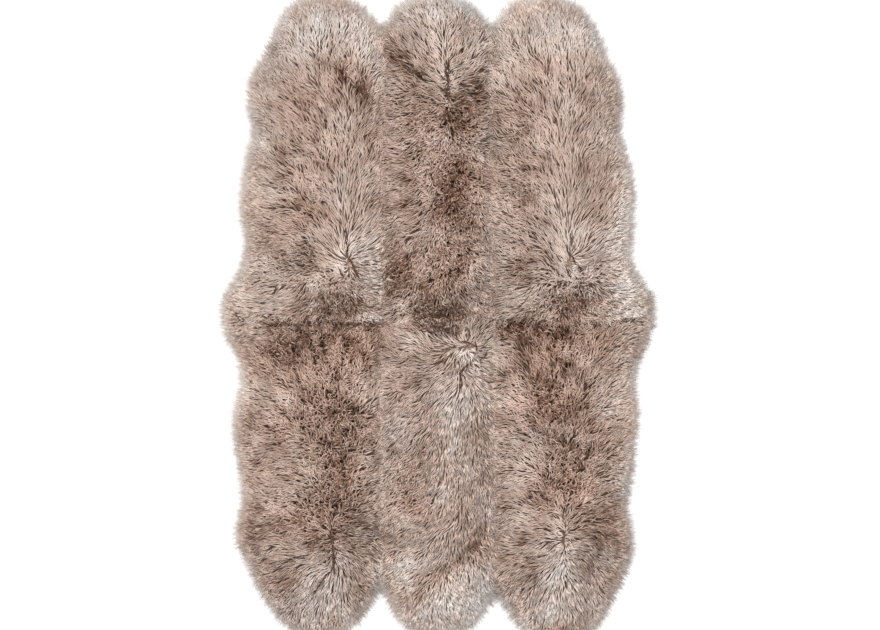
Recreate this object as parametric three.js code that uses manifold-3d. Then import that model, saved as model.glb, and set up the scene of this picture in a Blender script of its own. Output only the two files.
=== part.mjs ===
import * as THREE from "three";
import { mergeVertices } from "three/addons/utils/BufferGeometryUtils.js";
import Module from "manifold-3d";

const wasm = await Module();
wasm.setup();

// Six merino sheepskins lie flat with the wool up, sewn edge to edge in two rows of three.
// Sizes are millimetres: X across the rug, Y along it from the seam between the two rows, Z up.
// Each skin is one piece, pelt and wool together: a lumpy slab, with locks of wool at its free rim.
// A skin is drawn with its neck or tail end pointing out from the row seam, and `out` is the
// distance from y = 0 that way. The lower row is the same drawing with y turned round.

// Depth of the wool on the crown of a skin, in the valley of a seam and at a free rim
const crownHeight = 48;
const seamHeight = 28;
const rimHeight = 9;

// How far in from a free rim, and from a seam, the wool nears its full depth
const rimSlope = 30;
const seamSlope = 24;

// Tufts that make the fleece lumpy: their sizes across and along, and how high they stand
const broadTuft = { across: 53, along: 66, rise: 3.6 };
const smallTuft = { across: 45, along: 49, rise: 2.4 };

// The gap between two skins where they are sewn together
const sewnGap = 0.3;

// Locks of wool at the rim. `root` is the length that is rooted in the slab, and `sweep` and
// `stray` are angles in radians: the lean towards the tip, and the lean of single locks.
const lock = {
  pitch: 23,
  length: 24,
  lengthChange: 6,
  width: 17,
  height: 12,
  root: 11,
  sweep: 0.35,
  stray: 0.12,
  bend: 5,
  steps: 3,
};

// Where locks start beside a seam that ends at the rim: at a notch between two tips, and at a side
const notchClearance = 34;
const sideClearance = 12;

// Rows and columns of points on the wool of a skin, closer together near its edges
const rowCount = 30;
const columnCount = 14;
const edgeCrowding = 0.085;

function table(names, rows) {
  return rows.map((row) => Object.fromEntries(names.map((name, index) => [name, row[index]])));
}

// The seams: y of the one between the rows, which waves a little, and x of the two along the rug
function rowSeam(x) {
  return 4 * Math.sin(x / 75) - 8;
}

function leftSeam(y) {
  return 0.003 * y - 155;
}

function rightSeam(y) {
  return 155 - 0.009 * y;
}

// How far the wool reaches at the two long sides of the rug: x of the reach at each `out`
const topLeftReach = table(["out", "x"], [
  [0, -603], [45, -597], [100, -561], [155, -541], [210, -533], [300, -549], [375, -541],
  [455, -529], [515, -514], [590, -532], [650, -523], [705, -491], [765, -462], [841, -433],
]);
const topRightReach = table(["out", "x"], [
  [0, 604], [45, 600], [100, 560], [155, 533], [210, 539], [300, 544], [375, 543],
  [455, 519], [515, 505], [590, 516], [650, 501], [705, 474], [765, 454], [841, 406],
]);
const bottomLeftReach = table(["out", "x"], [
  [0, -603], [45, -591], [95, -560], [150, -549], [205, -550], [260, -565], [315, -568],
  [370, -560], [450, -546], [530, -541], [610, -563], [670, -534], [730, -508], [836, -441],
]);
const bottomRightReach = table(["out", "x"], [
  [0, 604], [45, 592], [95, 570], [150, 551], [205, 546], [260, 555], [315, 554],
  [370, 543], [450, 539], [525, 520], [610, 543], [670, 537], [730, 509], [836, 461],
]);

// Each skin: the way it points, 1 up and -1 down, its left and right edges, where its round tip
// starts and how far it reaches, and the colour of its wool. A sewn edge follows its seam as far
// as `sewnTo`, and its reach is that of the free wool beyond.
const skins = [
  {
    name: "skin_top_left",
    way: 1,
    left: { reach: topLeftReach },
    right: { seam: leftSeam, sewnTo: 762, reach: table(["out", "x"], [[795, -160], [841, -202]]) },
    shoulder: 841,
    tip: 894,
    colour: "#ab9589",
  },
  {
    name: "skin_top_middle",
    way: 1,
    left: { seam: leftSeam, sewnTo: 762, reach: table(["out", "x"], [[795, -149], [841, -125]]) },
    right: { seam: rightSeam, sewnTo: 762, reach: table(["out", "x"], [[795, 145], [841, 103]]) },
    shoulder: 841,
    tip: 896,
    colour: "#957d6f",
  },
  {
    name: "skin_top_right",
    way: 1,
    left: { seam: rightSeam, sewnTo: 762, reach: table(["out", "x"], [[795, 151], [841, 175]]) },
    right: { reach: topRightReach },
    shoulder: 841,
    tip: 888,
    colour: "#ab978b",
  },
  {
    name: "skin_bottom_left",
    way: -1,
    left: { reach: bottomLeftReach },
    right: { seam: leftSeam, sewnTo: 715, reach: table(["out", "x"], [[770, -172], [836, -216]]) },
    shoulder: 836,
    tip: 894,
    colour: "#9a8275",
  },
  {
    name: "skin_bottom_middle",
    way: -1,
    left: { seam: leftSeam, sewnTo: 715, reach: table(["out", "x"], [[770, -144], [836, -117]]) },
    right: { seam: rightSeam, sewnTo: 735, reach: table(["out", "x"], [[780, 153], [836, 117]]) },
    shoulder: 836,
    tip: 886,
    colour: "#a99488",
  },
  {
    name: "skin_bottom_right",
    way: -1,
    left: { seam: rightSeam, sewnTo: 735, reach: table(["out", "x"], [[780, 172], [836, 208]]) },
    right: { reach: bottomRightReach },
    shoulder: 836,
    tip: 905,
    colour: "#9b8375",
  },
];

// Hollows at the whorls and partings of the wool, and ridges along the backs: centre, radii and rise
const forms = table(["x", "y", "across", "along", "rise"], [
  [-249, 165, 34, 32, -12],
  [-290, 95, 70, 42, 6],
  [-318, 400, 80, 190, 4],
  [-250, 640, 75, 26, -6],
  [26, 685, 24, 42, -14],
  [48, 340, 62, 190, 6],
  [60, 80, 70, 60, -5],
  [364, 165, 34, 32, -12],
  [325, 95, 70, 42, 6],
  [300, 400, 80, 190, 4],
  [350, 640, 75, 26, -6],
  [-290, -693, 24, 42, -14],
  [-296, -330, 66, 200, 6],
  [59, -165, 34, 32, -12],
  [110, -85, 60, 36, 6],
  [10, -420, 80, 180, 4],
  [55, -657, 75, 26, -7],
  [351, -690, 30, 40, -10],
  [356, -320, 66, 200, 6],
]);

function formRise(x, y) {
  return forms.reduce((sum, form) => {
    const across = (x - form.x) / form.across;
    const along = (y - form.y) / form.along;
    return sum + form.rise * Math.exp(-across * across - along * along);
  }, 0);
}

// The rise of the tufts at a place: a tuft is half a wave each way, and the rows of tufts wander
function tuftRise(x, y) {
  const wave = (distance, tuft, drift) => Math.sin(Math.PI * distance / tuft + drift);
  const broad = wave(x, broadTuft.across, 1.1 * Math.sin(y / 53 + Math.sin(x / 90)))
    * wave(y, broadTuft.along, 0.8 * Math.sin(x / 37));
  const small = wave(x + y, smallTuft.across, 2 * Math.sin(y / 61)) * wave(x - y, smallTuft.along, 0);
  return broadTuft.rise * broad + smallTuft.rise * small;
}

// The edge of a slab: its x at a distance out. A sewn edge runs on its seam, and a free one keeps
// the length of a lock inside the reach of the wool. `inward` is 1 at the left and -1 at the right.
function slabEdge(edge, way, inward) {
  const onSeam = (out) => edge.seam(way * out) + inward * sewnGap / 2;
  const stations = edge.reach.map(({ out, x }) => ({ out, x: x + inward * lock.length }));
  if (edge.seam) stations.unshift({ out: edge.sewnTo, x: onSeam(edge.sewnTo) });
  const curve = new THREE.CubicInterpolant(
    stations.map((station) => station.out),
    stations.map((station) => station.x),
    1,
  );
  return (out) => (edge.seam && out <= edge.sewnTo ? onSeam(out) : curve.evaluate(out)[0]);
}

// A round tip: the arc through the two shoulders that reaches as far out as the tip
function tipArc(left, right, tipOut) {
  const halfWidth = (right.x - left.x) / 2;
  const rise = tipOut - left.y;
  const radius = (halfWidth * halfWidth + rise * rise) / (2 * rise);
  const halfAngle = Math.asin(halfWidth / radius);
  const centre = new THREE.Vector2(left.x + halfWidth, tipOut - radius);
  return (share) => {
    const angle = THREE.MathUtils.lerp(-halfAngle, halfAngle, share);
    return new THREE.Vector2(Math.sin(angle), Math.cos(angle)).multiplyScalar(radius).add(centre);
  };
}

// The outline of a slab, as four lines that each run from share 0 to share 1
function slabOutline(skin) {
  const seamOut = (x) => skin.way * rowSeam(x) + sewnGap / 2;
  const edgeLine = (edge) => {
    const start = seamOut(edge(0));
    return (share) => {
      const out = THREE.MathUtils.lerp(start, skin.shoulder, share);
      return new THREE.Vector2(edge(out), out);
    };
  };
  const left = edgeLine(slabEdge(skin.left, skin.way, 1));
  const right = edgeLine(slabEdge(skin.right, skin.way, -1));
  const seam = (share) => {
    const x = THREE.MathUtils.lerp(left(0).x, right(0).x, share);
    return new THREE.Vector2(x, seamOut(x));
  };
  return { seam, left, right, tip: tipArc(left(1), right(1), skin.tip - lock.length) };
}

// A point inside the outline, blended from its four lines
function blendedPoint(outline, across, along) {
  const mix = (start, end, share) => start.clone().lerp(end, share);
  const sides = mix(outline.left(along), outline.right(along), across);
  const ends = mix(outline.seam(across), outline.tip(across), along);
  const seamCorners = mix(outline.seam(0), outline.seam(1), across);
  const tipCorners = mix(outline.tip(0), outline.tip(1), across);
  return sides.add(ends).sub(mix(seamCorners, tipCorners, along));
}

// The wool rises from each free rim and dips at each seam
function woolHeight(skin, outline, across, along, point) {
  const toFree = [outline.tip(across).y - point.y];
  const toSeam = [point.y - outline.seam(across).y];
  const sideDistances = [
    [skin.left, point.x - outline.left(along).x],
    [skin.right, outline.right(along).x - point.x],
  ];
  sideDistances.forEach(([edge, distance]) => {
    const isSewn = edge.seam && point.y < edge.sewnTo;
    (isSewn ? toSeam : toFree).push(distance);
  });
  const fullness = (distances, slope) => (
    distances.reduce((product, distance) => product * (1 - Math.exp(-distance / slope)), 1)
  );
  const open = fullness(toSeam, seamSlope);
  const y = skin.way * point.y;
  const depth = THREE.MathUtils.lerp(seamHeight, crownHeight, open) + formRise(point.x, y) * open;
  return rimHeight + fullness(toFree, rimSlope) * (depth + tuftRise(point.x, y) - rimHeight);
}

function indexedGeometry(positions, triangles) {
  const geometry = new THREE.BufferGeometry();
  geometry.setAttribute("position", new THREE.Float32BufferAttribute(positions, 3));
  geometry.setIndex(triangles.flat());
  return geometry;
}

// A slab: the lumpy wool on top, a low wall round it, and the flat pelt on the floor
function slabGeometry(skin, outline) {
  const crowd = (share) => share - edgeCrowding * Math.sin(2 * Math.PI * share);
  const positions = [];
  const points = [];
  for (let row = 0; row <= rowCount; row += 1) {
    const along = crowd(row / rowCount);
    for (let column = 0; column <= columnCount; column += 1) {
      const across = crowd(column / columnCount);
      const point = blendedPoint(outline, across, along);
      points.push(point);
      positions.push(point.x, point.y, woolHeight(skin, outline, across, along, point));
    }
  }

  const at = (row, column) => row * (columnCount + 1) + column;
  const triangles = [];
  for (let row = 0; row < rowCount; row += 1) {
    for (let column = 0; column < columnCount; column += 1) {
      const near = [at(row, column), at(row, column + 1)];
      const far = [at(row + 1, column), at(row + 1, column + 1)];
      triangles.push([near[0], near[1], far[1]], [near[0], far[1], far[0]]);
    }
  }

  const border = [];
  for (let column = 0; column < columnCount; column += 1) border.push(at(0, column));
  for (let row = 0; row < rowCount; row += 1) border.push(at(row, columnCount));
  for (let column = columnCount; column > 0; column -= 1) border.push(at(rowCount, column));
  for (let row = rowCount; row > 0; row -= 1) border.push(at(row, 0));
  const floorStart = points.length;
  border.forEach((top, step) => {
    const next = (step + 1) % border.length;
    positions.push(points[top].x, points[top].y, 0);
    triangles.push([floorStart + step, floorStart + next, border[next]]);
    triangles.push([floorStart + step, border[next], top]);
  });
  const floorOutline = border.map((index) => points[index]);
  THREE.ShapeUtils.triangulateShape(floorOutline, []).forEach(([first, second, third]) => {
    triangles.push([floorStart + first, floorStart + third, floorStart + second]);
  });
  return indexedGeometry(positions, triangles);
}

// The free rim of a slab, from its left end over the tip to its right end
function rimCurve(skin, outline) {
  const stepCount = 4 * rowCount;
  const shares = Array.from({ length: stepCount }, (_, index) => index / stepCount);
  const freePart = (edge, line) => {
    const start = edge.seam ? edge.sewnTo + notchClearance : line(0).y + sideClearance;
    return shares.map(line).filter((point) => point.y >= start);
  };
  const left = freePart(skin.left, outline.left);
  const right = freePart(skin.right, outline.right);
  const tip = shares.filter((_, index) => index % 8 === 0).map(outline.tip);
  const points = [...left, ...tip, ...right.reverse()];
  return new THREE.CatmullRomCurve3(points.map(({ x, y }) => new THREE.Vector3(x, y, 0)));
}

// One lock of wool: a three-sided strand that tapers and bends, and lies level on the floor
function lockGeometry(start, heading, length, bend) {
  const whole = length + lock.root;
  const geometry = new THREE.ConeGeometry(1, whole, 3, lock.steps);
  geometry.deleteAttribute("normal");
  geometry.deleteAttribute("uv");
  const position = geometry.attributes.position;
  const side = new THREE.Vector2(heading.y, -heading.x);
  for (let index = 0; index < position.count; index += 1) {
    const travelled = position.getY(index) / whole + 0.5;
    const taper = 1 - travelled;
    const isTip = taper < 1e-4;
    const sine = isTip ? 0 : position.getX(index) / taper;
    const cosine = isTip ? -0.5 : position.getZ(index) / taper;
    const fullness = Math.sqrt(Math.max(taper, 0));
    const sideways = sine * fullness * lock.width / Math.sqrt(3) + bend * travelled * travelled;
    const upward = Math.max(cosine + 0.5, 0) * fullness * lock.height / 1.5;
    const forward = travelled * whole - lock.root;
    position.setXYZ(
      index,
      start.x + heading.x * forward + side.x * sideways,
      start.y + heading.y * forward + side.y * sideways,
      upward < 0.01 ? 0 : upward,
    );
  }
  return mergeVertices(geometry);
}

// Locks stand side by side round the free rim, swept towards the tip, each a little unlike the next
function rimLocks(skin, outline) {
  const curve = rimCurve(skin, outline);
  const count = Math.round(curve.getLength() / lock.pitch);
  return Array.from({ length: count }, (_, index) => {
    const share = (index + 0.5) / count;
    const tangent = curve.getTangentAt(share);
    const towardsTip = THREE.MathUtils.clamp(2 * tangent.y, -1, 1);
    const stray = Math.sin(2.4 * index) + 0.6 * Math.sin(5.1 * index + 1);
    const sweep = lock.sweep * towardsTip + lock.stray * stray;
    const heading = new THREE.Vector2(-tangent.y, tangent.x).rotateAround(new THREE.Vector2(), -sweep);
    const length = lock.length - lock.lengthChange * (0.5 + Math.sin(2.9 * index + 0.7));
    return lockGeometry(curve.getPointAt(share), heading, length, lock.bend * Math.sin(1.7 * index));
  });
}

function toSolid(geometry) {
  return new wasm.Manifold(new wasm.Mesh({
    numProp: 3,
    vertProperties: new Float32Array(geometry.attributes.position.array),
    triVerts: new Uint32Array(geometry.index.array),
  }));
}

// A solid as a geometry, turned to point the way its skin points. Turning y round turns the
// triangles inside out, so two corners of each change places.
function toGeometry(solid, way) {
  const { vertProperties, triVerts } = solid.getMesh();
  const triangles = [];
  for (let start = 0; start < triVerts.length; start += 3) {
    const [first, second, third] = triVerts.slice(start, start + 3);
    triangles.push(way > 0 ? [first, second, third] : [first, third, second]);
  }
  const geometry = indexedGeometry(vertProperties, triangles);
  geometry.scale(1, way, 1);
  geometry.computeVertexNormals();
  return geometry;
}

function skinMesh(skin) {
  const outline = slabOutline(skin);
  const slab = toSolid(slabGeometry(skin, outline));
  const whole = rimLocks(skin, outline).reduce((solid, strand) => solid.add(toSolid(strand)), slab);
  const wool = new THREE.MeshStandardMaterial({ color: skin.colour, roughness: 0.95, metalness: 0 });
  const mesh = new THREE.Mesh(toGeometry(whole, skin.way), wool);
  mesh.name = skin.name;
  return mesh;
}

const rug = new THREE.Group();
skins.forEach((skin) => rug.add(skinMesh(skin)));

// The origin is the middle of the rug's box, on the floor.
const centre = new THREE.Box3().setFromObject(rug).getCenter(new THREE.Vector3());
rug.position.set(-centre.x, -centre.y, 0);

export default rug;
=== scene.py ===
"""A rug of six merino sheepskins sewn edge to edge, lying flat with the wool up."""

import math

import bmesh
import bpy
import numpy as np
from mathutils import Matrix, Vector
from mathutils.bvhtree import BVHTree
from mathutils.kdtree import KDTree


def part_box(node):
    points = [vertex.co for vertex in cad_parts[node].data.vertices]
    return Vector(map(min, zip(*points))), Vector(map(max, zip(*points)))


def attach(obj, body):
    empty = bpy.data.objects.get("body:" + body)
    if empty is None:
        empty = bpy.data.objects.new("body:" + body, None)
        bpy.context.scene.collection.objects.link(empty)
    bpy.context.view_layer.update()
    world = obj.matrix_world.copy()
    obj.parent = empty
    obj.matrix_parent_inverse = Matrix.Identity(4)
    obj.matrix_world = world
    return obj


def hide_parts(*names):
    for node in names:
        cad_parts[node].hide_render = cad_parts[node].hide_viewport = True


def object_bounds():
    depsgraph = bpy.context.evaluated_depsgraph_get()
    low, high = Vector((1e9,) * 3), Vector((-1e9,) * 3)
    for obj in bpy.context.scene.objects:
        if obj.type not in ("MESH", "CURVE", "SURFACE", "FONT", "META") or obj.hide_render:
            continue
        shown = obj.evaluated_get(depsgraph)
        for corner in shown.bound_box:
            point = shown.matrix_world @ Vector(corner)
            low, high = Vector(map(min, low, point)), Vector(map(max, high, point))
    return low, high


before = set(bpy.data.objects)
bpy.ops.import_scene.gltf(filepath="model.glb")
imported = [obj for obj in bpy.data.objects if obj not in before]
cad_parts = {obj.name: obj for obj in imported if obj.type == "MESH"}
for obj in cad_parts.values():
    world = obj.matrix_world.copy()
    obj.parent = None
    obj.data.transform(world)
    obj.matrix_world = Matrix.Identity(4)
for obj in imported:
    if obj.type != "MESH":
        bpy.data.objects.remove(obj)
cad_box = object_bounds()

# Pelts: the tanned hide under each fleece, pale suede about 2 mm thick with its flesh side down.
# Each is cut to its skin's outline and lies flat, and its edges meet its neighbours' at the seams.
mm = 0.001
lock_top = 10.5 * mm
pelt_base = 0.7 * mm
pelt_thickness = 2.2 * mm
skin_names = [
    "top_left",
    "top_middle",
    "top_right",
    "bottom_left",
    "bottom_middle",
    "bottom_right",
]


def crown(name):
    """The curved top of one skin's solid, cut off above the locks at its rim."""
    least_upward = 0.15
    top = bmesh.new()
    top.from_mesh(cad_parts["skin_" + name].data)
    bmesh.ops.remove_doubles(top, verts=top.verts, dist=0.01 * mm)
    bmesh.ops.bisect_plane(
        top,
        geom=top.verts[:] + top.edges[:] + top.faces[:],
        plane_co=(0, 0, lock_top),
        plane_no=(0, 0, 1),
        clear_inner=True,
    )
    top.normal_update()
    steep = [face for face in top.faces if face.normal.z < least_upward]
    bmesh.ops.delete(top, geom=steep, context="FACES")
    return top


def finish_piece(shape, name, slot, *materials):
    """Turns a bmesh into a piece that rides with the rug."""
    mesh = bpy.data.meshes.new(name)
    shape.to_mesh(mesh)
    shape.free()
    piece = bpy.data.objects.new(name, mesh)
    bpy.context.scene.collection.objects.link(piece)
    for material in materials:
        mesh.materials.append(material)
    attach(piece, "root")
    return piece


def new_material(name):
    """A material with its Principled shader, and the tree to add nodes to."""
    material = bpy.data.materials.new(name)
    material.use_nodes = True
    tree = material.node_tree
    return material, tree, tree.nodes["Principled BSDF"]


def colour_ramp(tree, factor, stops):
    """A colour ramp through the given (place, colour) stops."""
    ramp = tree.nodes.new("ShaderNodeValToRGB")
    points = ramp.color_ramp.elements
    while len(points) < len(stops):
        points.new(0.5)
    for point, (place, colour) in zip(points, stops):
        point.position = place
        point.color = (*colour, 1)
    tree.links.new(factor, ramp.inputs["Fac"])
    return ramp.outputs["Color"]


def new_grain():
    """The grain that hide, thread and undercoat share: a noise in the rug's own place."""
    group = bpy.data.node_groups.new("grain", "ShaderNodeTree")
    settings = ("Scale", "Detail", "Roughness")
    for setting in settings:
        group.interface.new_socket(setting, in_out="INPUT", socket_type="NodeSocketFloat")
    group.interface.new_socket("Grain", in_out="OUTPUT", socket_type="NodeSocketFloat")
    entry = group.nodes.new("NodeGroupInput")
    place = group.nodes.new("ShaderNodeTexCoord")
    texture = group.nodes.new("ShaderNodeTexNoise")
    result = group.nodes.new("NodeGroupOutput")
    for setting in settings:
        group.links.new(entry.outputs[setting], texture.inputs[setting])
    group.links.new(place.outputs["Object"], texture.inputs["Vector"])
    group.links.new(texture.outputs["Fac"], result.inputs["Grain"])
    return group


grain = new_grain()


def placed_grain(tree, scale, detail, roughness=0.5):
    """The grain in one material, with its own scale in turns for each metre."""
    placed = tree.nodes.new("ShaderNodeGroup")
    placed.node_tree = grain
    placed.inputs["Scale"].default_value = scale
    placed.inputs["Detail"].default_value = detail
    placed.inputs["Roughness"].default_value = roughness
    return placed.outputs["Grain"]


def bump(tree, raised, shader, distance):
    """Raises a grain into the shader's normal by up to the distance."""
    node = tree.nodes.new("ShaderNodeBump")
    node.inputs["Strength"].default_value = 1
    node.inputs["Distance"].default_value = distance
    tree.links.new(raised, node.inputs["Height"])
    tree.links.new(node.outputs["Normal"], shader.inputs["Normal"])


suede, tree, shader = new_material("suede")
shader.inputs["Roughness"].default_value = 0.9
shader.inputs["Sheen Weight"].default_value = 0.25
shader.inputs["Sheen Roughness"].default_value = 0.5
blotches = placed_grain(tree, 9, 4, 0.6)
suede_stops = [(0.3, (0.5, 0.39, 0.29)), (0.55, (0.62, 0.51, 0.4)), (0.75, (0.7, 0.6, 0.49))]
tree.links.new(colour_ramp(tree, blotches, suede_stops), shader.inputs["Base Color"])
bump(tree, placed_grain(tree, 900, 5, 0.7), shader, 0.5 * mm)

for name in skin_names:
    sheet = crown(name)
    for vert in sheet.verts:
        vert.co.z = pelt_base + pelt_thickness
    bmesh.ops.dissolve_degenerate(sheet, edges=sheet.edges, dist=0.05 * mm)
    bmesh.ops.dissolve_limit(sheet, angle_limit=math.radians(1), verts=sheet.verts, edges=sheet.edges)
    area = sum(face.calc_area() for face in sheet.faces)
    across = [vert.co.x for vert in sheet.verts]
    along = [vert.co.y for vert in sheet.verts]
    bmesh.ops.solidify(sheet, geom=sheet.faces[:], thickness=pelt_thickness)
    pelt = finish_piece(sheet, "pelt_" + name, "pelt", suede)

# Seams: whip stitches of flat pale thread that join the pelts edge to edge on their flesh side.
# Each stitch slants across the gap between two pelts, pressed flat so that the rug still lies level.
stitch_spacing = 8 * mm
stitch_length = 8 * mm
thread_width = 0.9 * mm
thread_depth = 0.5 * mm
stitch_height = pelt_base - 0.4 * thread_depth
stitch_slant = math.radians(35)
side_seam_ends = (-705 * mm, 755 * mm)
row_seam_end = 560 * mm


def row_seam(x):
    """The y of the seam between the two rows, which waves a little."""
    return 4 * mm * math.sin((x + 1.2 * mm) / (75 * mm)) - 3 * mm


def left_seam(y):
    """The x of the seam left of the middle skins."""
    return 0.003 * y - 156.2 * mm


def right_seam(y):
    """The x of the seam right of the middle skins."""
    return 153.8 * mm - 0.009 * y


thread, tree, shader = new_material("thread")
shader.inputs["Roughness"].default_value = 0.7
strands_of_thread = placed_grain(tree, 1400, 3, 0.6)
thread_stops = [(0.3, (0.5, 0.42, 0.33)), (0.7, (0.72, 0.63, 0.52))]
tree.links.new(colour_ramp(tree, strands_of_thread, thread_stops), shader.inputs["Base Color"])
bump(tree, placed_grain(tree, 2400, 2), shader, 0.2 * mm)

stitch_places = []
for along in np.arange(*side_seam_ends, stitch_spacing):
    stitch_places.append((left_seam(along), along, stitch_slant))
    stitch_places.append((right_seam(along), along, stitch_slant))
for along in np.arange(-row_seam_end, row_seam_end, stitch_spacing):
    stitch_places.append((along, row_seam(along), stitch_slant + math.pi / 2))
stitches = bmesh.new()
for x, y, turn in stitch_places:
    stitch = bmesh.ops.create_icosphere(stitches, subdivisions=1, radius=0.5)["verts"]
    bmesh.ops.scale(stitches, verts=stitch, vec=(stitch_length, thread_width, thread_depth))
    bmesh.ops.rotate(stitches, verts=stitch, matrix=Matrix.Rotation(turn, 3, "Z"))
    bmesh.ops.translate(stitches, verts=stitch, vec=(x, y, stitch_height))
for face in stitches.faces:
    face.smooth = True
finish_piece(stitches, "seam_stitches", "pelt", thread)

# Undercoats: the short dense wool next to the hide, never combed out, coloured darker than the tips as
# painted shade of the roots deep in the fleece, and paler under the paler skins.
# Each fills its skin to a little over half of the wool's depth, and shows only between the tufts.
undercoat_share = 0.62
undercoat_base = pelt_base + pelt_thickness + 0.1 * mm
skirt_slope = 0.3
light_skins = ("top_left", "top_right", "bottom_middle")
# Dark undercoat colours: painted shade of the deep roots.
undercoat_shade_stops = [
    (0.3, (0.1, 0.066, 0.05)),
    (0.55, (0.17, 0.118, 0.093)),
    (0.75, (0.235, 0.17, 0.137)),
]

undercoat_wools = {}
for undercoat_name, paler in (("undercoat_light", 2.7), ("undercoat_dark", 1.15)):
    undercoat_wool, tree, shader = new_material(undercoat_name)
    shader.inputs["Roughness"].default_value = 0.95
    shader.inputs["Specular IOR Level"].default_value = 0
    lumps = placed_grain(tree, 320, 3, 0.6)
    stops = [(place, [paler * part for part in colour]) for place, colour in undercoat_shade_stops]
    tree.links.new(colour_ramp(tree, lumps, stops), shader.inputs["Base Color"])
    bump(tree, placed_grain(tree, 260, 4, 0.6), shader, 4 * mm)
    undercoat_wools[undercoat_name] = undercoat_wool

tops = {}
for name in skin_names:
    coat = crown(name)
    tops[name] = BVHTree.FromBMesh(coat)
    for vert in coat.verts:
        vert.co.z = undercoat_base + (vert.co.z - undercoat_base) * undercoat_share
    edge = [side for side in coat.edges if side.is_boundary]
    skirt = bmesh.ops.extrude_edge_only(coat, edges=edge)["geom"]
    for part in skirt:
        if isinstance(part, bmesh.types.BMVert):
            part.co.z = undercoat_base
    bmesh.ops.holes_fill(coat, edges=[side for side in coat.edges if side.is_boundary])
    bmesh.ops.recalc_face_normals(coat, faces=coat.faces)
    for face in coat.faces:
        face.smooth = face.normal.z > skirt_slope
    undercoat_wool = undercoat_wools["undercoat_light" if name in light_skins else "undercoat_dark"]
    finish_piece(coat, "undercoat_" + name, "fleece_dark", undercoat_wool)

# The lie of the wool: how high it stands and which way it is combed at each place on the rug.
# The height follows the solids. The combing was charted for each kind of skin, looking down,
# with headings in degrees from +X, at places across from the parting and out from the middle seam.
cell = 4 * mm
rim_reach = 25 * mm
margin = 48 * mm
middle_seam = -3 * mm
low_corner, high_corner = cad_box
grid_x = np.arange(low_corner.x - margin, high_corner.x + margin, cell)
grid_y = np.arange(low_corner.y - margin, high_corner.y + margin, cell)
place_x, place_y = np.meshgrid(grid_x, grid_y)

height = np.zeros(place_x.shape)
owner = np.full(place_x.shape, -1)
for index, name in enumerate(skin_names):
    low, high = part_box("skin_" + name)
    inside = (place_x > low.x) & (place_x < high.x) & (place_y > low.y) & (place_y < high.y)
    for row, column in np.argwhere(inside):
        start = Vector((grid_x[column], grid_y[row], 1))
        hit = tops[name].ray_cast(start, Vector((0, 0, -1)))[0]
        if hit is not None and hit.z > height[row, column]:
            height[row, column] = hit.z
            owner[row, column] = index


def blurred(values, times=1):
    """The values, each mixed with its neighbours."""
    for _ in range(times):
        padded = np.pad(values, 1, mode="edge")
        values = (
            4 * padded[1:-1, 1:-1]
            + 2 * (padded[:-2, 1:-1] + padded[2:, 1:-1] + padded[1:-1, :-2] + padded[1:-1, 2:])
            + padded[:-2, :-2] + padded[:-2, 2:] + padded[2:, :-2] + padded[2:, 2:]
        ) / 16
    return values


covered = blurred((owner >= 0).astype(float), 2) > 0.5
ring = covered & (blurred(covered.astype(float)) < 0.999)
ring_places = np.argwhere(ring)
outline = KDTree(len(ring_places))
for number, (row, column) in enumerate(ring_places):
    outline.insert((grid_x[column], grid_y[row], 0), number)
outline.balance()
distance = np.zeros(place_x.shape)
nearest_skin = np.zeros(place_x.shape, int)
for row, column in np.ndindex(place_x.shape):
    _, number, gap = outline.find((grid_x[column], grid_y[row], 0))
    distance[row, column] = gap if covered[row, column] else -gap
    nearest_skin[row, column] = owner[tuple(ring_places[number])]
distance = blurred(distance, 3)
slope_y, slope_x = np.gradient(distance, cell)
steepness = np.hypot(slope_x, slope_y) + 1e-6
outward_x, outward_y = -slope_x / steepness, -slope_y / steepness
skin_of = np.where(owner >= 0, owner, nearest_skin)
# The wool from each side of a seam meets in a ragged line, a cell or two off the straight one.
sideways = np.sin(place_y / (19 * mm)) + np.sin(place_y / (6.3 * mm) + place_x)
upwards = np.sin(place_x / (23 * mm)) + np.sin(place_x / (7 * mm))
rows, columns = np.indices(skin_of.shape)
rows = np.clip(rows + upwards.round().astype(int), 0, skin_of.shape[0] - 1)
columns = np.clip(columns + sideways.round().astype(int), 0, skin_of.shape[1] - 1)
skin_of = skin_of[rows, columns]
past_rim = np.clip(-distance / rim_reach, 0, 1)
height = np.where(owner >= 0, height, lock_top * (1 - 0.75 * past_rim**0.8))
height = blurred(height, 8)
# The seams, from 0 on a skin to 1 where two meet, where the wool stands a little higher.
seam = np.zeros(place_x.shape)
for index in range(len(skin_names)):
    share = blurred((skin_of == index).astype(float), 6)
    seam += 2 * share * (1 - share)
seam *= np.clip(distance / (15 * mm), 0, 1)
height *= 1 + 0.2 * seam

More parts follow.
